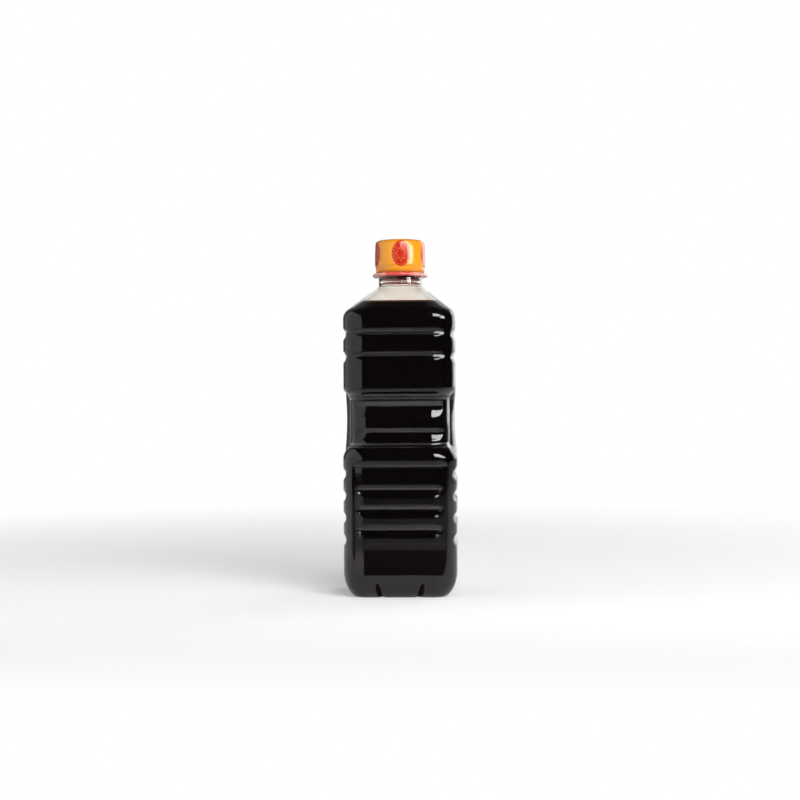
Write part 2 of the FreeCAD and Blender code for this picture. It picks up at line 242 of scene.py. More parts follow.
class BottleSettings(bpy.types.PropertyGroup):
    wall: length_property("Wall", "Thickness of the blown wall", 0.0006, 5)
    oil_level: length_property("Oil level", "Height of the oil's surface", 0.1739, 4)
    plastic_tint: colour_property("Plastic tint", "Tint of the clear body", (0.93, 0.925, 0.91, 1.0))
    warmed_tint: colour_property("Warmed tint", "Tint of the body above the oil", (0.95, 0.925, 0.87, 1.0))
    # pink tint painted for red light from the cap above, seen through the clear ring
    ring_painted_pink: colour_property("Ring tint", "Tint of the milky support ring", (0.95, 0.46, 0.38, 1.0))
    warmed_from: length_property("Warmed from", "Height where the warmed tint begins", 0.173, 4)
    oil_colour: colour_property("Oil colour", "Colour of the dark oil", (0.0030, 0.0021, 0.0019, 1.0))
    # brown painted for light through the oil where it is thin
    oil_painted_thin_light: colour_property(
        "Oil film colour", "Brown of the oil where it is thin", (0.22, 0.085, 0.02, 1.0))


class CapSettings(bpy.types.PropertyGroup):
    film_colour: colour_property("Film colour", "Main colour of the shrink film", (0.78, 0.275, 0.010, 1.0))
    seal_colour: colour_property(
        "Seal colour", "Colour of the oval seals on the film", (0.50, 0.016, 0.008, 1.0))
    cap_colour: colour_property(
        "Cap colour", "Colour of the cap and its tamper band", (0.50, 0.03, 0.02, 1.0))
    seal_half_width: length_property("Seal half width", "Half the width of a seal", 0.0056, 5)
    seal_half_height: length_property("Seal half height", "Half the height of a seal", 0.0078, 5)
    seal_pitch: bpy.props.FloatProperty(
        name="Seal pitch", description="Angle from one seal to the next", default=math.radians(74.0),
        subtype="ANGLE")


class StageSettings(bpy.types.PropertyGroup):
    camera_distance: length_property("Camera distance", "From the bottle's axis to the camera", 0.94)
    camera_height: length_property("Camera height", "Height of the level camera", 0.1155)
    camera_turn: bpy.props.FloatProperty(
        name="Camera turn", description="Camera's turn round the bottle from its front",
        default=math.radians(2.6), subtype="ANGLE")
    floor_colour: colour_property("Floor colour", "Colour of floor and backdrop", (0.8, 0.8, 0.8, 1.0))


# ---- shape functions ------------------------------------------------------------------
def smooth_min(a, b, band):
    """The lesser of a and b; where they differ by less than band, a parabola rounds the change-over."""
    share = np.clip(0.5 + 0.5 * (b - a) / band, 0.0, 1.0)
    return b + (a - b) * share - band * share * (1.0 - share)


def smooth_max(a, b, band):
    """The greater of a and b, rounded in the same way."""
    return -smooth_min(-a, -b, band)


def graded(start, end, count, zones):
    """count values from start to end whose spacing is divided by a zone's factor inside that zone."""
    fine = np.linspace(start, end, 6000)
    weight = np.ones_like(fine)
    for low, high, factor in zones:
        weight[(fine > low) & (fine < high)] = factor
    travelled = np.concatenate([[0.0], np.cumsum(weight[:-1])])
    return np.interp(np.linspace(0.0, travelled[-1], count), travelled, fine)


def eased_line(points, rounds, steps=9):
    """Polyline with arcs in its corners.

    In a corner of half angle h, an arc of radius r touches both runs at r / tan(h) from the corner.
    Its points are the two touching radii blended by sine weights.
    """
    line = [np.array(points[0], float)]
    for before, here, after, radius in zip(points, points[1:], points[2:], rounds[1:]):
        here = np.array(here, float)
        if radius == 0.0:
            line.append(here)
            continue
        back = np.array(before) - here
        ahead = np.array(after) - here
        back /= np.linalg.norm(back)
        ahead /= np.linalg.norm(ahead)
        half = 0.5 * math.acos(float(back @ ahead))
        middle = (back + ahead) / np.linalg.norm(back + ahead)
        centre = here + middle * radius / math.sin(half)
        first = here + back * radius / math.tan(half) - centre
        last = here + ahead * radius / math.tan(half) - centre
        sweep = math.pi - 2.0 * half
        share = np.linspace(0.0, 1.0, steps)[:, None]
        arc = (np.sin((1.0 - share) * sweep) * first + np.sin(share * sweep) * last) / math.sin(sweep)
        line.extend(centre + arc)
    line.append(np.array(points[-1], float))
    return np.array(line)


def moved_in(points, inset):
    """Polyline moved square to itself by inset: each corner goes along the sum of its runs' normals."""
    points = np.array(points, float)
    runs = np.diff(points, axis=0)
    runs /= np.linalg.norm(runs, axis=1)[:, None]
    normals = np.stack([-runs[:, 1], runs[:, 0]], axis=1)
    first = np.vstack([normals[:1], normals])
    second = np.vstack([normals, normals[-1:]])
    total = first + second
    return points + total * (2.0 * inset / (total ** 2).sum(axis=1))[:, None]


def rectangle_radius(angles, half_x, half_y, corner):
    """Distance from the axis to a rectangle with round corners, for each angle.

    On a flat side it is the half width over the cosine; in a corner it is the far crossing of the
    ray with the corner's circle.
    """
    c = np.abs(np.cos(angles)) + 1e-9
    s = np.abs(np.sin(angles)) + 1e-9
    centre_x = half_x - corner
    centre_y = half_y - corner
    along = centre_x * c + centre_y * s
    rest = along ** 2 - centre_x ** 2 - centre_y ** 2 + corner ** 2
    arc = along + np.sqrt(np.maximum(rest, 0.0))
    side_x = half_x / c
    side_y = half_y / s
    radius = np.where(side_x * s <= centre_y, side_x, arc)
    return np.where(side_y * c <= centre_x, side_y, radius)


def bowed_square_radius(angles, half, corner, bow):
    """Distance from the axis to a square whose sides bow out in arcs, with corner arcs tangent to them.

    With half the square's half width, R the bow's radius and r the corner's, the arcs meet where the
    side has turned by b, and cos b - sin b is (R - half) / (R - r).
    """
    folded = np.abs((angles + 0.25 * math.pi) % (0.5 * math.pi) - 0.25 * math.pi)
    turn = np.arccos((bow - half) / (bow - corner) / math.sqrt(2.0)) - 0.25 * math.pi
    meet_across = bow * np.sin(turn)
    meet_out = half - bow + bow * np.cos(turn)
    centre = meet_across - corner * np.sin(turn)
    far = bow - half
    side = np.sqrt(bow ** 2 - (far * np.sin(folded)) ** 2) - far * np.cos(folded)
    along = centre * (np.cos(folded) + np.sin(folded))
    arc = along + np.sqrt(np.maximum(along ** 2 - 2.0 * centre ** 2 + corner ** 2, 0.0))
    return np.where(folded < np.arctan2(meet_across, meet_out), side, arc)


def foot_rows(inset, count):
    """Half width, corner and height of the foot's rows: a superellipse of the sine and cosine."""
    turn = np.linspace(0.0, 0.5 * math.pi, count)
    drawn_in = (FOOT_ROUND - inset) * (1.0 - np.sin(turn) ** FOOT_POWER)
    below = (FOOT_TOP - inset) * np.maximum(np.cos(turn), 0.0) ** FOOT_POWER
    half = LOWER_HALF - FOOT_STEP - inset - drawn_in
    top_corner = CORNER - FOOT_STEP - inset
    corner = top_corner + (FOOT_CORNER - inset - top_corner) * drawn_in / (FOOT_ROUND - inset)
    return half, corner, FOOT_TOP - below


def wall_rows(inset, heights):
    """Half width, corner and height of the body's rows, read from the eased outline."""
    outline = [
        (LOWER_HALF - FOOT_STEP, FOOT_TOP),
        (LOWER_HALF - FOOT_STEP, FOOT_TOP + FOOT_STEP_RISE),
        (LOWER_HALF, FOOT_TOP + FOOT_STEP_RISE + FOOT_STEP_HEIGHT),
        (LOWER_HALF, LOWER_TOP),
        (WAIST_HALF, WAIST_BOTTOM),
        (WAIST_HALF, LEDGE_BOTTOM),
        (WAIST_HALF + LEDGE, LEDGE_BOTTOM + LEDGE_RISE),
        (WAIST_HALF + LEDGE, WAIST_TOP),
        (UPPER_HALF, UPPER_BOTTOM),
        (UPPER_HALF, SHOULDER_EDGE),
        (SHOULDER_TOP_HALF, SHOULDER_TOP),
    ]
    corners = [CORNER - FOOT_STEP] * 2 + [CORNER] * 2 + [WAIST_CORNER] * 4 + [CORNER] * 2
    corners.append(SHOULDER_TOP_CORNER)
    rounds = [0.0, 0.0, 0.0, LOWER_EDGE_ROUND - inset, SLOPE_ROUND + inset, LEDGE_ROUND + inset,
              max(LEDGE_EDGE_ROUND - inset, 0.0), LEDGE_ROUND + inset, SLOPE_ROUND - inset,
              SHOULDER_ROUND - inset, 0.0]
    moved = moved_in(outline, inset)
    line = eased_line(moved, rounds)
    half = np.interp(heights, line[:, 1], line[:, 0])
    corner = np.interp(heights, moved[:, 1], corners) - inset
    return half, corner, heights


def grip_half(heights, inset):
    """Half width of the grip pillar: a parabola hollowed between its ends, falling away beyond them."""
    low = LOWER_HALF - GRIP_SET_BACK - inset
    high = UPPER_HALF - GRIP_SET_BACK - inset
    share = np.clip((heights - LOWER_TOP) / (UPPER_BOTTOM - LOWER_TOP), 0.0, 1.0)
    half = low + (high - low) * share - 4.0 * GRIP_HOLLOW * share * (1.0 - share)
    beyond = np.maximum(LOWER_TOP - heights, 0.0) + np.maximum(heights - UPPER_BOTTOM, 0.0)
    return np.where(beyond < GRIP_ROOT, half - beyond, TOO_THIN_TO_SHOW)


def cut_grooves(across, along, heights, grooves):
    """Depth coordinate after the grooves are cut.

    A groove's section is one parabola above its deepest line and a longer one below it, and its
    depth runs out as a parabola over its tapered ends. It follows the face round the corner.
    """
    for face, half_length, deepest, above, below, depth in grooves:
        rise = heights - deepest
        reach = np.where(rise > 0.0, above, below)
        overrun = np.maximum(along - (half_length - GROOVE_END), 0.0) / GROOVE_END
        cut = depth * (1.0 - overrun ** 2 - (rise / reach) ** 2)
        here = (np.abs(rise) < 2.0 * reach) & (across > GROOVED_SHARE * face)
        across = np.where(here, across - smooth_max(cut, np.zeros_like(cut), GROOVE_BLEND), across)
    return across


def cut_panel(across, along, heights, inset):
    """Depth coordinate after the sunk panel is cut; it is left alone beyond the lower section.

    Its floor bows as the face does and falls off beyond its side lines. It rises to the face above
    its top line and, more slowly, below its ramp's top; an apron leans in from the foot to the ramp.
    """
    middle = 0.5 * (PANEL_BOTTOM + PANEL_TOP)
    above = np.maximum(heights - (PANEL_TOP - PANEL_BEVEL), 0.0)
    out_x = np.maximum(along - (PANEL_HALF - PANEL_BEVEL), 0.0)
    outside = np.hypot(above, out_x) * PANEL_DEPTH / PANEL_BEVEL
    ramp = np.maximum(PANEL_RAMP_TOP - heights, 0.0) ** 2 * PANEL_RAMP_BEND
    fall = along ** 2 / (2.0 * FACE_BOW) + np.maximum(along - PANEL_SIDE, 0.0) * PANEL_SIDE_SLOPE
    floor = LOWER_HALF - inset - PANEL_DEPTH - fall + outside + ramp
    lean = APRON_SLOPE * np.clip(heights - APRON_BOTTOM, 0.0, APRON_TOP - APRON_BOTTOM)
    on_apron = (heights > APRON_BOTTOM) & (heights < middle)
    apron = np.where(on_apron, LOWER_HALF - inset - fall - lean, LOWER_HALF)
    cut = smooth_min(smooth_min(across, floor, PANEL_BLEND), apron, APRON_BLEND)
    return np.where(np.abs(heights - middle) < PANEL_REACH, cut, across)


def cut_flutes(x, y, z):
    """Foot with its radial flutes: near each flute's plane, points move up and in to the flute's floor.

    The share moved is a squared cosine of the distance from the plane, faded at the flute's ends.
    """
    along = (math.cos(FLUTE_SLOPE), math.sin(FLUTE_SLOPE))
    fade_in, fade_out = FLUTE_FADES
    for i in range(FLUTES):
        turn = (i + 0.5) * 2.0 * math.pi / FLUTES
        radial = x * math.cos(turn) + y * math.sin(turn)
        aside = y * math.cos(turn) - x * math.sin(turn)
        run = (radial - FLUTE_START) * along[0] + z * along[1]
        rise = z * along[0] - (radial - FLUTE_START) * along[1]
        share = np.cos(np.clip(aside / (FLUTE_SPREAD * FLUTE_RADIUS), -1.0, 1.0) * 0.5 * math.pi) ** 2
        share = share * np.clip((FLUTE_LENGTH - run) / fade_out, 0.0, 1.0)
        share = share * np.clip((run + FLUTE_BEFORE) / fade_in, 0.0, 1.0)
        lift = np.where(radial > 0.0, np.clip(FLUTE_RADIUS - rise, 0.0, FLUTE_DEPTH) * share, 0.0)
        x = x - lift * along[1] * math.cos(turn)
        y = y - lift * along[1] * math.sin(turn)
        z = z + lift * along[0]
    return x, y, z


def underside_rows(inset, foot_radius, dome_rows=8, flat_rows=3):
    """Radii and heights under the foot's first row: a spherical push-up, then a flat standing ring."""
    sphere = (DOME_RADIUS ** 2 + DOME_RISE ** 2) / (2.0 * DOME_RISE)
    rim = math.sqrt((sphere + inset) ** 2 - (sphere - DOME_RISE + inset) ** 2)
    dome = np.linspace(0.0, 1.0, dome_rows + 1)[1:, None] * rim
    dome_z = DOME_RISE - sphere + np.sqrt((sphere + inset) ** 2 - dome ** 2)
    flat = rim + (foot_radius - rim) * np.linspace(0.0, 1.0, flat_rows + 2)[1:-1, None]
    shape = (dome_rows, foot_radius.shape[1])
    radii = np.vstack([np.broadcast_to(dome, shape), flat])
    return radii, np.vstack([np.broadcast_to(dome_z, shape), np.full_like(flat, inset)])


def body_skin(inset, angles, heights, foot_count, neck):
    """Points of the body's skin moved in by inset, rows from the middle of the underside to the last height.

    Each row is a rounded square in polar form, joined to the grips and the neck by smooth maxima,
    and then held back by the panel and the grooves.
    """
    foot = foot_rows(inset, foot_count)
    wall = wall_rows(inset, heights)
    half, corner, level = (np.concatenate(pair)[:, None] for pair in zip(foot, wall))
    radius = bowed_square_radius(angles[None, :], half, corner, FACE_BOW - inset)
    grip = rectangle_radius(
        angles[None, :], grip_half(level, inset), GRIP_HALF_DEPTH - inset, GRIP_ROUND - inset)
    in_waist = (level > LOWER_TOP - GRIP_ROOT) & (level < UPPER_BOTTOM + GRIP_ROOT)
    radius = np.where(in_waist, smooth_max(radius, grip, GRIP_BLEND), radius)
    with_neck = smooth_max(radius, np.full_like(radius, neck), NECK_BLEND)
    radius = np.where(level > SHOULDER_EDGE, with_neck, radius)
    x = radius * np.cos(angles)
    y = radius * np.sin(angles)
    z = np.broadcast_to(level, x.shape)
    front = cut_panel(np.abs(y), np.abs(x), z, inset)
    side = np.minimum(np.abs(x), LOWER_HALF - inset)
    deep_y = np.sign(y) * cut_grooves(front, np.abs(x), z, FRONT_GROOVES)
    deep_x = np.sign(x) * cut_grooves(side, np.abs(y), z, SIDE_GROOVES)
    under, under_z = underside_rows(inset, radius[:1])
    x = np.vstack([under * np.cos(angles), deep_x])
    y = np.vstack([under * np.sin(angles), deep_y])
    z = np.vstack([under_z, z])
    if inset > 0.0:
        return np.stack([x, y, z], axis=-1)
    return np.stack(cut_flutes(x, y, z), axis=-1)


def turned(profile, angles):
    """Rows of a turned surface: each (radius, height) of the profile swept round the axis."""
    profile = np.array(profile, float)
    x = profile[:, :1] * np.cos(angles)
    y = profile[:, :1] * np.sin(angles)
    z = np.broadcast_to(profile[:, 1:], x.shape)
    return np.stack([x, y, z], axis=-1)


def tube_faces(first, rows, columns):
    """Quads of a tube whose vertex (row, column) has index first + row * columns + column."""
    here = first + np.arange((rows - 1) * columns).reshape(-1, columns)
    beside = np.roll(here, -1, axis=1)
    return np.stack([here, beside, beside + columns, here + columns], axis=-1).reshape(-1, 4)


def fan_faces(hub, first, columns, outward):
    """Triangles from one hub vertex to a closed row."""
    here = first + np.arange(columns)
    beside = np.roll(here, -1)
    order = (beside, here) if outward else (here, beside)
    return np.stack([np.full(columns, hub), *order], axis=-1)


def new_piece(name, points, faces, material, slot, *nodes):
    """Puts millimetre points into a smooth mesh object that rides on the bottle and stands for the nodes."""
    mesh = bpy.data.meshes.new(name)
    mesh.from_pydata((points.reshape(-1, 3) * MM).tolist(), [], faces)
    mesh.polygons.foreach_set("use_smooth", np.ones(len(mesh.polygons), dtype=bool))
    mesh.update()
    piece = bpy.data.objects.new(name, mesh)
    bpy.context.collection.objects.link(piece)
    mesh.materials.append(material)
    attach(piece, BODY)
    if nodes:
        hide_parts(*nodes)
    return piece


def ring_piece(name, profile, columns, material, slot, *nodes, ripple=None):
    """Closed ring: a closed profile swept round the axis, its last row joined to its first."""
    angles = np.arange(columns) * 2.0 * math.pi / columns
    points = turned(profile, angles)
    if ripple is not None:
        points = ripple(points, angles)
    faces = tube_faces(0, len(profile) + 1, columns) % (len(profile) * columns)
    return new_piece(name, points, faces.tolist(), material, slot, *nodes)


# ---- node helpers ----------------------------------------------------------------------
def new_material(name):
    """Material with one shader: returns it, its node tree and the shader."""
    material = bpy.data.materials.new(name)
    material.use_nodes = True
    tree = material.node_tree
    tree.nodes.clear()
    output = tree.nodes.new("ShaderNodeOutputMaterial")
    shader = tree.nodes.new("ShaderNodeBsdfPrincipled")
    tree.links.new(shader.outputs["BSDF"], output.inputs["Surface"])
    return material, tree, shader


def feed(tree, socket, value):
    """Links an output to the socket, or sets the socket where value isn't one."""
    if isinstance(value, bpy.types.NodeSocket):
        tree.links.new(value, socket)
    else:
        socket.default_value = value


def math_node(tree, operation, *inputs):
    """Adds a maths node; each input is a socket or a number."""
    node = tree.nodes.new("ShaderNodeMath")
    node.operation = operation
    for socket, value in zip(node.inputs, inputs):
        feed(tree, socket, value)
    return node.outputs[0]


def times(tree, first, second):
    return math_node(tree, "MULTIPLY", first, second)


def gap(tree, value, place):
    """How far the value is from the place, whichever is greater."""
    return math_node(tree, "ABSOLUTE", math_node(tree, "SUBTRACT", value, place))


def mix_colour(tree, factor, first, second):
    """Adds a colour mix; each colour is a socket or four numbers."""
    node = tree.nodes.new("ShaderNodeMix")
    node.data_type = "RGBA"
    for number, value in ((0, factor), (6, first), (7, second)):
        feed(tree, node.inputs[number], value)
    return node.outputs[2]


def map_range(tree, value, low, high, to_low=0.0, to_high=1.0, blend="LINEAR"):
    """to_low up to low and to_high from high on, with a blend between; high may be the lesser."""
    node = tree.nodes.new("ShaderNodeMapRange")
    node.interpolation_type = blend
    tree.links.new(value, node.inputs[0])
    for socket, number in zip(node.inputs[1:5], (low, high, to_low, to_high)):
        socket.default_value = number
    return node.outputs[0]


def eased_range(tree, value, start, end):
    """0 before start and 1 after end, eased between; end may be the lesser."""
    return map_range(tree, value, start, end, blend="SMOOTHSTEP")


def object_position(tree):
    """Object coordinates, and their X, Y and Z."""
    position = tree.nodes.new("ShaderNodeTexCoord").outputs["Object"]
    return position, axes(tree, position)


def axes(tree, vector):
    """X, Y and Z outputs of a vector."""
    split = tree.nodes.new("ShaderNodeSeparateXYZ")
    tree.links.new(vector, split.inputs[0])
    return split.outputs


def noise(tree, position, scale, detail=2.0, stretch=(1.0, 1.0, 1.0)):
    """Noise on the position, multiplied by stretch along each axis."""
    mapping = tree.nodes.new("ShaderNodeMapping")
    mapping.inputs["Scale"].default_value = stretch
    tree.links.new(position, mapping.inputs["Vector"])
    node = tree.nodes.new("ShaderNodeTexNoise")
    node.inputs["Scale"].default_value = scale
    node.inputs["Detail"].default_value = detail
    tree.links.new(mapping.outputs[0], node.inputs["Vector"])
    return node.outputs["Fac"]


def bump(tree, height, strength, distance, shader):
    """Bumps the shader's normal by the height."""
    node = tree.nodes.new("ShaderNodeBump")
    node.inputs["Strength"].default_value = strength
    node.inputs["Distance"].default_value = distance
    tree.links.new(height, node.inputs["Height"])
    tree.links.new(node.outputs["Normal"], shader.inputs["Normal"])


def coat(tree, shader, colour, roughness):
    """Links the shader's colour and roughness."""
    tree.links.new(colour, shader.inputs["Base Color"])
    tree.links.new(roughness, shader.inputs["Roughness"])


def new_group(name, inputs, outputs):
    """Shader node group; inputs and outputs are (name, socket type, default) and (name, socket type)."""
    group = bpy.data.node_groups.new(name, "ShaderNodeTree")
    for label, kind, default in inputs:
        socket = group.interface.new_socket(name=label, in_out="INPUT", socket_type=kind)
        if default is not None:
            socket.default_value = default
    for label, kind in outputs:
        group.interface.new_socket(name=label, in_out="OUTPUT", socket_type=kind)
    return group, group.nodes.new("NodeGroupInput"), group.nodes.new("NodeGroupOutput")


def give(group, result, **values):
    """Links values to the group's outputs by name."""
    for label, value in values.items():
        group.links.new(value, result.inputs[label])
    return group


def place_group(tree, group, position, **values):
    """Outputs of a group placed in the tree; values are its inputs, with _ for a space."""
    node = tree.nodes.new("ShaderNodeGroup")
    node.node_tree = group
    tree.links.new(position, node.inputs["Position"])
    for label, value in values.items():
        node.inputs[label.replace("_", " ")].default_value = value
    return node.outputs


def scaled(colour, *shares):
    """Colour times the shares, one for all or one for each channel, as four numbers."""
    shares = shares if len(shares) == 3 else shares * 3
    return tuple(a * b for a, b in zip(colour, shares)) + (1.0,)


def moulded_surface_group():
    """Uneven moulded or blown plastic: slow waves, a fine grain, and a mask for light wear."""
    name = "moulded_surface"
    if name in bpy.data.node_groups:
        return bpy.data.node_groups[name]
    group, given, result = new_group(
        name,
        [("Position", "NodeSocketVector", None), ("Wave scale", "NodeSocketFloat", 60.0),
         ("Grain scale", "NodeSocketFloat", 900.0)],
        [("Height", "NodeSocketFloat"), ("Unevenness", "NodeSocketFloat"), ("Wear", "NodeSocketFloat")],
    )
    noises = []
    for label, detail in (("Wave scale", 1.0), ("Grain scale", 3.0)):
        node = group.nodes.new("ShaderNodeTexNoise")
        node.inputs["Detail"].default_value = detail
        group.links.new(given.outputs["Position"], node.inputs["Vector"])
        group.links.new(given.outputs[label], node.inputs["Scale"])
        noises.append(node.outputs["Fac"])
    wave, grain = noises
    height = math_node(group, "ADD", wave, times(group, grain, 0.08))
    wear = map_range(group, grain, 0.62, 0.75)
    return give(group, result, Height=height, Unevenness=wave, Wear=wear)


def oval_seal_group():
    """Oval seals printed round a sleeve.

    The angle round the axis is wrapped to one seal's pitch. The reach from a seal's middle, as a
    share of its half width and half height, gives the seal, its dashed rim line and the petalled
    rosette inside it.
    """
    name = "oval_seals"
    if name in bpy.data.node_groups:
        return bpy.data.node_groups[name]
    group, given, result = new_group(
        name,
        [("Position", "NodeSocketVector", None), ("Sleeve radius", "NodeSocketFloat", 0.0151),
         ("Pitch", "NodeSocketFloat", 1.344), ("First", "NodeSocketFloat", 0.0785),
         ("Middle height", "NodeSocketFloat", 0.2025), ("Half width", "NodeSocketFloat", 0.006),
         ("Half height", "NodeSocketFloat", 0.0078)],
        [("Seal", "NodeSocketFloat"), ("Rim", "NodeSocketFloat"), ("Rosette", "NodeSocketFloat")],
    )
    x, y, z = axes(group, given.outputs["Position"])
    angle = math_node(group, "ARCTAN2", x, times(group, y, -1.0))
    angle = math_node(group, "SUBTRACT", angle, given.outputs["First"])
    half_pitch = times(group, given.outputs["Pitch"], 0.5)
    minus_half = times(group, half_pitch, -1.0)
    local = math_node(group, "WRAP", angle, half_pitch, minus_half)
    across = times(group, local, given.outputs["Sleeve radius"])
    across = math_node(group, "DIVIDE", across, given.outputs["Half width"])
    up = math_node(group, "SUBTRACT", z, given.outputs["Middle height"])
    up = math_node(group, "DIVIDE", up, given.outputs["Half height"])
    across_squared = times(group, across, across)
    up_squared = times(group, up, up)
    reach = math_node(group, "SQRT", math_node(group, "ADD", across_squared, up_squared))

    def turns(count):
        """Cosine that runs count times round the seal."""
        round_seal = math_node(group, "ARCTAN2", up, across)
        return math_node(group, "COSINE", times(group, round_seal, count))

    def line_at(place):
        """Line where the reach is place."""
        return map_range(group, gap(group, reach, place), 0.03, 0.06, 1.0, 0.0)

    dashes = map_range(group, turns(22.0), -0.3, 0.3)
    petals = math_node(group, "ADD", times(group, turns(8.0), 0.12), 0.46)
    seal = map_range(group, reach, 0.97, 1.0, 1.0, 0.0)
    rim = times(group, line_at(0.86), dashes)
    return give(group, result, Seal=seal, Rim=rim, Rosette=line_at(petals))


# ---- finishes --------------------------------------------------------------------------
def clear_plastic(settings):
    """Clear blown plastic, uneven from the mould.

    A trace of oil warms it above the oil's surface, and a brown line is drawn along the crease at the
    back of the neck's foot.
    """
    material, tree, shader = new_material("clear_blown_plastic")
    position, (_, y, height) = object_position(tree)
    surface = place_group(tree, moulded_surface_group(), position, Wave_scale=55.0, Grain_scale=700.0)
    tint = tuple(settings.plastic_tint)
    colour = mix_colour(tree, surface["Unevenness"], tint, scaled(tint, 0.97))
    warmed = map_range(tree, height, settings.warmed_from, settings.warmed_from + 0.003)
    colour = mix_colour(tree, warmed, colour, tuple(settings.warmed_tint))
    # a brown line along the crease at the back of the neck's foot
    crease = map_range(tree, gap(tree, height, CREASE_HEIGHT), 0.0009, 0.0016, 1.0, 0.0)
    behind = map_range(tree, y, 0.0, 0.004)
    colour = mix_colour(tree, times(tree, crease, behind), colour, CREASE_COLOUR)
    coat(tree, shader, colour, map_range(tree, surface["Unevenness"], 0.0, 1.0, 0.02, 0.05))
    shader.inputs["Transmission Weight"].default_value = 1.0
    shader.inputs["IOR"].default_value = PLASTIC_IOR
    bump(tree, surface["Height"], 0.035, 0.0008, shader)
    return material


def ring_painted_red_plastic(settings):
    """The same plastic where the support ring scatters light: milky, with a pink tint and a red patch at the
    front and back that are painted light, the red of the seal and band above it seen through the ring.
    """
    material, tree, shader = new_material("milky_ring_painted_red")
    position, (x, _, _) = object_position(tree)
    surface = place_group(tree, moulded_surface_group(), position, Wave_scale=160.0, Grain_scale=900.0)
    milky = tuple(settings.ring_painted_pink)
    colour = mix_colour(tree, surface["Unevenness"], milky, scaled(milky, 1.0, 0.7, 0.7))
    # painted light: red where the seal above shows through the ring, at the front and back
    painted_seal_light = eased_range(tree, math_node(tree, "ABSOLUTE", x), 0.010, 0.006)
    colour = mix_colour(tree, times(tree, painted_seal_light, 0.85), colour, RING_PAINTED_RED)
    coat(tree, shader, colour, map_range(tree, surface["Unevenness"], 0.0, 1.0, 0.15, 0.35))
    shader.inputs["Transmission Weight"].default_value = 0.2
    shader.inputs["IOR"].default_value = PLASTIC_IOR
    bump(tree, surface["Height"], 0.2, 0.0004, shader)
    return material


def dark_oil(settings):
    """Nearly black oil; painted light makes it browner near the foot and where its film is thin near the
    surface line.
    """
    material, tree, shader = new_material("dark_oil")
    position, (_, _, height) = object_position(tree)
    level = settings.oil_level
    # painted light: brown for light through the thin oil under the surface line, and near the foot
    painted_thin_light = map_range(tree, height, level - 0.0012, level + 0.0001)
    painted_foot_light = eased_range(tree, height, 0.036, 0.026)
    slow = noise(tree, position, 30.0)
    colour = tuple(settings.oil_colour)
    body = mix_colour(tree, slow, colour, scaled(colour, 1.5))
    body = mix_colour(tree, painted_foot_light, body, FOOT_PAINTED_BROWN)
    body = mix_colour(tree, painted_thin_light, body, tuple(settings.oil_painted_thin_light))
    coat(tree, shader, body, map_range(tree, slow, 0.0, 1.0, 0.2, 0.3))
    shader.inputs["Specular IOR Level"].default_value = 0.0
    return material


def shrink_film(settings):
    """Orange shrink film printed with red oval seals, olive over the cap's edge and finely creased."""
    material, tree, shader = new_material("shrink_film")
    position, (_, _, height) = object_position(tree)
    seals = place_group(
        tree, oval_seal_group(), position, Pitch=settings.seal_pitch, Half_width=settings.seal_half_width,
        Half_height=settings.seal_half_height)
    film = tuple(settings.film_colour)
    slow = noise(tree, position, 120.0, 3.0)
    colour = mix_colour(tree, slow, film, scaled(film, 1.1, 1.25, 1.6))
    fold = map_range(tree, height, 0.2085, 0.2110, 0.0, 0.7)
    colour = mix_colour(tree, fold, colour, scaled(film, 0.55, 0.6, 0.8))
    red = tuple(settings.seal_colour)
    light_red = tuple(0.4 * a + 0.6 * b for a, b in zip(red, film))
    lines = math_node(tree, "MAXIMUM", seals["Rim"], seals["Rosette"])
    seal = mix_colour(tree, times(tree, lines, 0.85), red, light_red)
    colour = mix_colour(tree, seals["Seal"], colour, seal)
    coat(tree, shader, colour, map_range(tree, slow, 0.3, 0.7, 0.11, 0.22))
    shader.inputs["IOR"].default_value = 1.5
    creases = noise(tree, position, 500.0, 3.0, (1.0, 1.0, 0.18))
    bump(tree, creases, 0.35, 0.0006, shader)
    return material


def cap_plastic(settings):
    """Red moulded plastic with a faint grain."""
    material, tree, shader = new_material("cap_plastic")
    position, _ = object_position(tree)
    surface = place_group(tree, moulded_surface_group(), position, Wave_scale=200.0, Grain_scale=1500.0)
    red = tuple(settings.cap_colour)
    colour = mix_colour(tree, surface["Unevenness"], red, scaled(red, 0.8))
    coat(tree, shader, colour, map_range(tree, surface["Wear"], 0.0, 1.0, 0.32, 0.5))
    bump(tree, surface["Height"], 0.15, 0.0003, shader)
    return material


# ---- operators -------------------------------------------------------------------------
def outer_columns():
    """Column angles, closer together at the flutes and round the corners."""
    zones = []
    for count, half_zone, factor in ((4, math.radians(17.0), 1.7), (FLUTES, math.radians(4.5), 2.4)):
        for i in range(count):
            middle = (i + 0.5) * 2.0 * math.pi / count
            zones.append((middle - half_zone, middle + half_zone, factor))
    return graded(0.0, 2.0 * math.pi, BODY_COLUMNS + 1, zones)[:-1]


def wall_heights(top, count):
    """Row heights, closer together at grooves, slopes and the shoulder's round.

    Each zone is its lower end, its upper end and how many times closer its rows are.
    """
    zones = [(12.0, 15.0, 2.0), (18.0, 24.0, 1.6), (29.5, 66.0, 3.2), (66.0, 82.0, 2.4), (82.0, 92.0, 2.6),
             (92.0, 99.5, 4.0), (105.0, 112.5, 4.0), (114.5, 124.0, 3.2), (137.0, 158.0, 3.2),
             (160.0, 184.0, 1.8), (184.0, 188.6, 2.6)]
    return graded(FOOT_TOP + FIRST_ROW_RISE, top, count, zones)


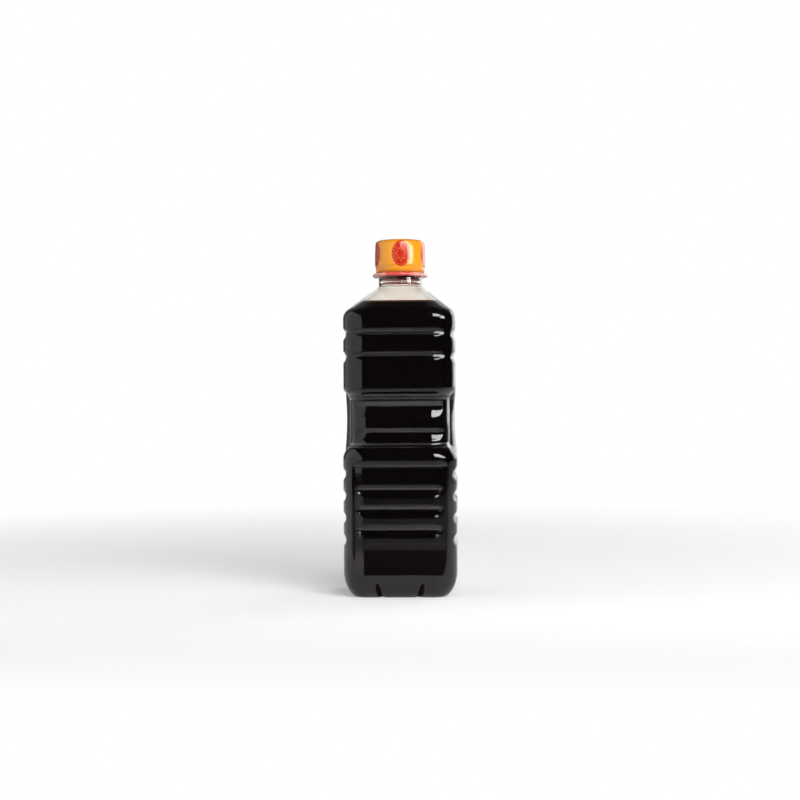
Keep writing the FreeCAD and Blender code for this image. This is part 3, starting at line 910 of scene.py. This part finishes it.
class OILBOTTLE_OT_body(bpy.types.Operator):
    """Build the clear blown body with its neck and support ring"""

    bl_idname = "oilbottle.body"
    bl_label = "Blown Body"

    def execute(self, context):
        settings = context.scene.oil_bottle
        wall = settings.wall / MM
        angles = outer_columns()
        inner_angles = angles[::2]
        columns = len(angles)
        fewer = len(inner_angles)
        outer_heights = wall_heights(RING_BOTTOM - SKIN_END, OUTER_ROWS)
        outer = body_skin(0.0, angles, outer_heights, OUTER_FOOT_ROWS, NECK)
        neck = turned(self.neck_profile(), angles)
        bore = turned(
            [(BORE + MOUTH_EDGE, NECK_TOP), (BORE, NECK_TOP - MOUTH_EDGE_HEIGHT), (BORE, BORE_MIDDLE),
             (BORE, BORE_BOTTOM)], inner_angles)
        inner_heights = wall_heights(RING_BOTTOM - INNER_SKIN_END, INNER_ROWS)
        inner = body_skin(wall, inner_angles, inner_heights, INNER_FOOT_ROWS, BORE)[::-1]
        outer_rows = np.concatenate([outer, neck])
        inner_rows = np.concatenate([bore, inner])
        start = len(outer_rows) * columns
        hub = start + len(inner_rows) * fewer
        faces = tube_faces(0, len(outer_rows), columns).tolist()
        faces += self.rim_faces(start, columns, fewer)
        faces += tube_faces(start, len(inner_rows), fewer).tolist()
        faces += fan_faces(hub, 0, columns, True).tolist()
        faces += fan_faces(hub + 1, hub - fewer, fewer, False).tolist()
        hubs = np.array([[0.0, 0.0, DOME_RISE], [0.0, 0.0, DOME_RISE + wall]])
        points = np.vstack([outer_rows.reshape(-1, 3), inner_rows.reshape(-1, 3), hubs])
        body = new_piece("blown_body", points, faces, clear_plastic(settings), "clear_plastic", "bottle")
        body.data.materials.append(ring_painted_red_plastic(settings))
        of_ring = np.zeros(len(faces), dtype=np.int32)
        first_ring = (len(outer) + 1) * columns
        of_ring[first_ring:first_ring + (len(RING_SECTION) + 1) * columns] = 1
        body.data.polygons.foreach_set("material_index", of_ring)
        return {"FINISHED"}

    def neck_profile(self):
        """Outline from the shoulder up: flare, support ring, plain finish and the mouth's edge."""
        ring = [(radius, RING_BOTTOM + rise) for radius, rise in RING_SECTION]
        ring_top = ring[-1][1]
        start, end = NECK_FLARE
        below = [(NECK + start, RING_BOTTOM - NECK_FLARE_HEIGHT), (NECK + end, RING_BOTTOM)]
        above = [(NECK + MOUTH_EDGE, ring_top), (NECK, ring_top + MOUTH_EDGE), (NECK, NECK_MIDDLE),
                 (NECK, NECK_TOP - MOUTH_EDGE_HEIGHT), (NECK - MOUTH_EDGE, NECK_TOP)]
        return below + ring + above

    def rim_faces(self, start, columns, fewer):
        """Faces of the mouth's rim, from the outside's last row to the inside's first of half its columns."""
        last = start - columns
        i = np.arange(fewer)
        nearer = last + 2 * i
        middle = nearer + 1
        further = last + (2 * i + 2) % columns
        inside = start + i
        inside_next = start + (i + 1) % fewer
        triangles = np.stack([nearer, middle, inside], axis=-1).tolist()
        return triangles + np.stack([middle, further, inside_next, inside], axis=-1).tolist()


class OILBOTTLE_OT_oil(bpy.types.Operator):
    """Fill the body with oil that reaches just into the wall"""

    bl_idname = "oilbottle.oil"
    bl_label = "Oil"

    def execute(self, context):
        settings = context.scene.oil_bottle
        inset = settings.wall / MM - OIL_INTO_WALL
        level = settings.oil_level / MM
        angles = outer_columns()[::2]
        side = body_skin(inset, angles, wall_heights(level, OIL_ROWS), OIL_FOOT_ROWS, TOO_THIN_TO_SHOW)
        share, sink = np.array(OIL_SURFACE).T
        top = side[-1:] * share[:, None, None]
        top[..., 2] = level - sink[:, None]
        rows = np.concatenate([side, top])
        hub = rows.shape[0] * rows.shape[1]
        faces = tube_faces(0, rows.shape[0], rows.shape[1]).tolist()
        faces += fan_faces(hub, 0, len(angles), True).tolist()
        faces += fan_faces(hub + 1, hub - len(angles), len(angles), False).tolist()
        hubs = np.array([[0.0, 0.0, DOME_RISE + inset], [0.0, 0.0, level - sink[-1]]])
        points = np.vstack([rows.reshape(-1, 3), hubs])
        new_piece("oil_fill", points, faces, dark_oil(settings), "dark_oil", "oil")
        return {"FINISHED"}


class OILBOTTLE_OT_closure(bpy.types.Operator):
    """Build the cap, its tamper band and the shrink film over both"""

    bl_idname = "oilbottle.closure"
    bl_label = "Cap and Film"

    def execute(self, context):
        settings = context.scene.oil_bottle_cap
        plastic = cap_plastic(settings)
        self.cap(plastic)
        band = eased_line(
            [(BAND_BORE, BAND_BOTTOM + BAND_LIP), (BAND_BORE, BAND_BOTTOM), (BAND_RADIUS, BAND_BOTTOM),
             (BAND_RADIUS, BAND_TOP), (BAND_BORE, BAND_TOP), (BAND_BORE, BAND_TOP - BAND_LIP)],
            [0.0] + [BAND_EDGE] * 4 + [0.0])
        ring_piece("tamper_ring", band, CAP_COLUMNS, plastic, "cap_plastic", "tamper_band")
        self.film(settings)
        return {"FINISHED"}

    def cap(self, plastic):
        """Shell turned with a taper and a round edge, closed inside at the neck's rim."""
        bore = CAP_RADIUS - CAP_SKIRT
        shell = eased_line(
            [(bore, CAP_BOTTOM), (CAP_RADIUS, CAP_BOTTOM), (CAP_RADIUS, CAP_TAPER), (CAP_TOP_RADIUS, CAP_TOP),
             (CAP_HUB, CAP_TOP)], [0.0, CAP_LIP, 0.0, CAP_EDGE, 0.0])
        inside = [(CAP_HUB, NECK_TOP), (bore - CAP_CHAMFER, NECK_TOP), (bore, NECK_TOP - CAP_CHAMFER)]
        rows = turned(np.vstack([shell, inside]), np.arange(CAP_COLUMNS) * 2.0 * math.pi / CAP_COLUMNS)
        first_inside = len(shell) * CAP_COLUMNS
        hub = len(rows) * CAP_COLUMNS
        here = np.arange(CAP_COLUMNS)
        beside = np.roll(here, -1)
        last = hub - CAP_COLUMNS
        faces = tube_faces(0, len(shell), CAP_COLUMNS).tolist()
        faces += tube_faces(first_inside, len(inside), CAP_COLUMNS).tolist()
        faces += np.stack([last + here, last + beside, beside, here], axis=-1).tolist()
        faces += fan_faces(hub, first_inside - CAP_COLUMNS, CAP_COLUMNS, False).tolist()
        faces += fan_faces(hub + 1, first_inside, CAP_COLUMNS, True).tolist()
        hubs = np.array([[0.0, 0.0, CAP_TOP], [0.0, 0.0, NECK_TOP]])
        points = np.vstack([rows.reshape(-1, 3), hubs])
        new_piece("screw_cap", points, faces, plastic, "cap_plastic", "cap")

    def film(self, settings):
        """Sleeve drawn from the band out to the cap, up its side and over its edge, with an inner face."""

        def skin(out):
            return eased_line(
                [(BAND_RADIUS + out, BAND_BOTTOM), (BAND_RADIUS + out, BAND_TOP - FILM_DRAW),
                 (CAP_RADIUS + out, BAND_TOP), (CAP_RADIUS + out, CAP_TAPER),
                 (CAP_TOP_RADIUS + out, CAP_TOP + out), (CAP_TOP_RADIUS - FILM_FOLD, CAP_TOP + out)],
                [0.0, FILM_BEND, FILM_BEND, 0.0, CAP_EDGE + out, 0.0])

        def ripple(points, angles):
            """Soft pleats at the sleeve's lower end: sine waves round it that only move it inwards."""
            wave = sum(np.sin(count * angles + start) for count, start in PLEATS)
            near_end = np.clip((BAND_TOP - points[..., 2]) / PLEAT_HEIGHT, 0.0, 1.0)
            drawn = PLEAT_DEPTH * (wave - len(PLEATS)) / len(PLEATS) * near_end
            scale = 1.0 + drawn / np.hypot(points[..., 0], points[..., 1])
            return np.stack([points[..., 0] * scale, points[..., 1] * scale, points[..., 2]], axis=-1)

        profile = np.vstack([skin(FILM), skin(FILM_CLEAR)[::-1]])
        material = shrink_film(settings)
        ring_piece("film_sleeve", profile, FILM_COLUMNS, material, "shrink_film", "film", ripple=ripple)


class OILBOTTLE_OT_stage(bpy.types.Operator):
    """Set the floor, backdrop, reflectors, lamps and camera"""

    bl_idname = "oilbottle.stage"
    bl_label = "Stage"

    def execute(self, context):
        settings = context.scene.oil_bottle_stage
        scene = context.scene
        scene.view_settings.view_transform = "Standard"
        self.floor(settings)
        self.world(scene)
        self.lamps()
        self.camera(scene, settings)
        return {"FINISHED"}

    def paper(self, name, colour, lift, white_range, front):
        """Diffuse paper that seen rays find whiter.

        Camera and transmitted rays add the lift, and turn to plain white over a range of distances
        from the bottle. Where front is set, painted shade darkens the paper's colour towards the camera,
        seen rays find it white sooner there, and reflected rays add the lift only behind and beside the
        bottle; where it isn't, reflected rays see what the camera does.
        """
        material = bpy.data.materials.new(name)
        material.use_nodes = True
        tree = material.node_tree
        tree.nodes.clear()
        output = tree.nodes.new("ShaderNodeOutputMaterial")
        diffuse = tree.nodes.new("ShaderNodeBsdfDiffuse")
        diffuse.inputs["Color"].default_value = colour
        glow = tree.nodes.new("ShaderNodeEmission")
        white = tree.nodes.new("ShaderNodeEmission")
        path = tree.nodes.new("ShaderNodeLightPath")
        glossy = path.outputs["Is Glossy Ray"]
        position, (x, y, _) = object_position(tree)
        distance = tree.nodes.new("ShaderNodeVectorMath")
        distance.operation = "LENGTH"
        tree.links.new(position, distance.inputs[0])
        seen = math_node(tree, "MAXIMUM", path.outputs["Is Camera Ray"], path.outputs["Is Transmission Ray"])
        whiter = eased_range(tree, distance.outputs["Value"], *white_range)
        if front:
            # painted shade: the floor's colour darkens towards the camera, and further on turns nearly black
            shade = mix_colour(tree, eased_range(tree, y, *SHADE_Y), colour, scaled(colour, SHADE_SHARE))
            shade = mix_colour(tree, eased_range(tree, y, *FAR_SHADE_Y), shade, FAR_PAINTED_SHADE)
            tree.links.new(shade, diffuse.inputs["Color"])
            whiter = math_node(tree, "MAXIMUM", whiter, eased_range(tree, y, *WHITE_Y))
            beside = times(tree, eased_range(tree, x, *MIRRORED_X), MIRRORED_SHARE)
            mirrored = math_node(tree, "MAXIMUM", beside, eased_range(tree, y, *MIRRORED_Y))
            lifted_seen = math_node(tree, "MAXIMUM", seen, times(tree, mirrored, glossy))
        else:
            seen = math_node(tree, "MAXIMUM", seen, glossy)
            lifted_seen = seen
        tree.links.new(times(tree, lifted_seen, lift), glow.inputs["Strength"])
        lifted = tree.nodes.new("ShaderNodeAddShader")
        tree.links.new(diffuse.outputs[0], lifted.inputs[0])
        tree.links.new(glow.outputs[0], lifted.inputs[1])
        mix = tree.nodes.new("ShaderNodeMixShader")
        tree.links.new(times(tree, seen, whiter), mix.inputs[0])
        tree.links.new(lifted.outputs[0], mix.inputs[1])
        tree.links.new(white.outputs[0], mix.inputs[2])
        tree.links.new(mix.outputs[0], output.inputs["Surface"])
        return material

    def panel(self, name, corners, material):
        """Flat grid between four corners: sides blended in proportion."""
        count = 9
        a, b, c, d = (np.array(p, float) for p in corners)
        u = np.linspace(0.0, 1.0, count)[None, :, None]
        v = np.linspace(0.0, 1.0, count)[:, None, None]
        points = (a * (1 - u) + b * u) * (1 - v) + (d * (1 - u) + c * u) * v
        index = np.arange(count * count).reshape(count, count)
        faces = np.stack([index[:-1, :-1], index[:-1, 1:], index[1:, 1:], index[1:, :-1]], axis=-1)
        mesh = bpy.data.meshes.new(name)
        mesh.from_pydata(points.reshape(-1, 3).tolist(), [], faces.reshape(-1, 4).tolist())
        mesh.materials.append(material)
        panel = bpy.data.objects.new(name, mesh)
        bpy.context.collection.objects.link(panel)

    def floor(self, settings):
        """Floor, backdrop behind it and reflector on the left."""
        colour = tuple(settings.floor_colour)
        near, far, left, right = -1.05, 2.4, -2.0, 2.0
        paper = self.paper("pale_floor", colour, FLOOR_LIFT, FLOOR_WHITE, True)
        corners = [(left, near, 0.0), (right, near, 0.0), (right, far, 0.0), (left, far, 0.0)]
        self.panel("floor", corners, paper)
        wall = self.paper("pale_backdrop", colour, 0.0, WALL_WHITE, False)
        left, low, high = -0.8, -0.01, 2.2
        corners = [(left, far, low), (right, far, low), (right, far, high), (left, far, high)]
        self.panel("backdrop", corners, wall)
        aside, near, far, high = -0.75, -3.0, 0.45, 1.1
        corners = [(aside, near, 0.0), (aside, far, 0.0), (aside, far, high), (aside, near, high)]
        self.panel("side_reflector", corners, wall)

    def world(self, scene):
        """Dim studio, brighter behind the bottle, whose seen background is white."""
        world = bpy.data.worlds.new("studio")
        scene.world = world
        world.use_nodes = True
        tree = world.node_tree
        background = tree.nodes["Background"]
        background.inputs["Color"].default_value = (1.0, 1.0, 1.0, 1.0)
        path = tree.nodes.new("ShaderNodeLightPath")
        seen = math_node(tree, "MAXIMUM", path.outputs["Is Camera Ray"], path.outputs["Is Transmission Ray"])
        _, y, _ = axes(tree, tree.nodes.new("ShaderNodeTexCoord").outputs["Generated"])
        behind = map_range(tree, y, 0.2, 0.8, 0.01, 0.3)
        tree.links.new(math_node(tree, "MAXIMUM", seen, behind), background.inputs["Strength"])

    def lamps(self):
        for name, place, aim, width, height, power, reflected in LAMPS:
            light = bpy.data.lights.new(name, "AREA")
            light.shape = "RECTANGLE"
            light.size = width
            light.size_y = height
            light.energy = power
            lamp = bpy.data.objects.new(name, light)
            lamp.location = place
            lamp.rotation_euler = (Vector(aim) - Vector(place)).to_track_quat("-Z", "Y").to_euler()
            lamp.visible_glossy = reflected
            bpy.context.collection.objects.link(lamp)

    def camera(self, scene, settings):
        """Level camera on a circle round the bottle, moved a little aside and rolled a little."""
        lens = bpy.data.cameras.new("camera")
        lens.lens = LENS
        lens.sensor_width = SENSOR
        lens.clip_start = 0.01
        camera = bpy.data.objects.new("camera", lens)
        turn = settings.camera_turn
        distance = settings.camera_distance
        camera.location = (
            distance * math.sin(turn) + CAMERA_ASIDE * math.cos(turn),
            -distance * math.cos(turn) + CAMERA_ASIDE * math.sin(turn),
            settings.camera_height,
        )
        camera.rotation_euler = (math.radians(90.0), 0.0, turn)
        camera.rotation_euler.rotate_axis("Z", CAMERA_ROLL)
        bpy.context.collection.objects.link(camera)
        scene.camera = camera


class OILBOTTLE_PT_panel(bpy.types.Panel):
    bl_label = "Oil Bottle"
    bl_idname = "OILBOTTLE_PT_panel"
    bl_space_type = "VIEW_3D"
    bl_region_type = "UI"
    bl_category = "Oil Bottle"

    def draw(self, context):
        scene = context.scene
        for group in (scene.oil_bottle, scene.oil_bottle_cap, scene.oil_bottle_stage):
            box = self.layout.box()
            for name in group.bl_rna.properties.keys():
                if name not in {"rna_type", "name"}:
                    box.prop(group, name)
        for operator in OPERATORS:
            self.layout.operator(operator.bl_idname)


SETTINGS = {"oil_bottle": BottleSettings, "oil_bottle_cap": CapSettings, "oil_bottle_stage": StageSettings}
OPERATORS = (OILBOTTLE_OT_body, OILBOTTLE_OT_oil, OILBOTTLE_OT_closure, OILBOTTLE_OT_stage)


def register():
    for kind in (*SETTINGS.values(), *OPERATORS, OILBOTTLE_PT_panel):
        bpy.utils.register_class(kind)
    for name, kind in SETTINGS.items():
        setattr(bpy.types.Scene, name, bpy.props.PointerProperty(type=kind))


def unregister():
    for name in SETTINGS:
        delattr(bpy.types.Scene, name)
    for kind in (OILBOTTLE_PT_panel, *reversed(OPERATORS), *SETTINGS.values()):
        bpy.utils.unregister_class(kind)


def main():
    register()
    bpy.ops.oilbottle.body()
    bpy.ops.oilbottle.oil()
    bpy.ops.oilbottle.closure()
    bpy.ops.oilbottle.stage()


if __name__ == "__main__":
    main()
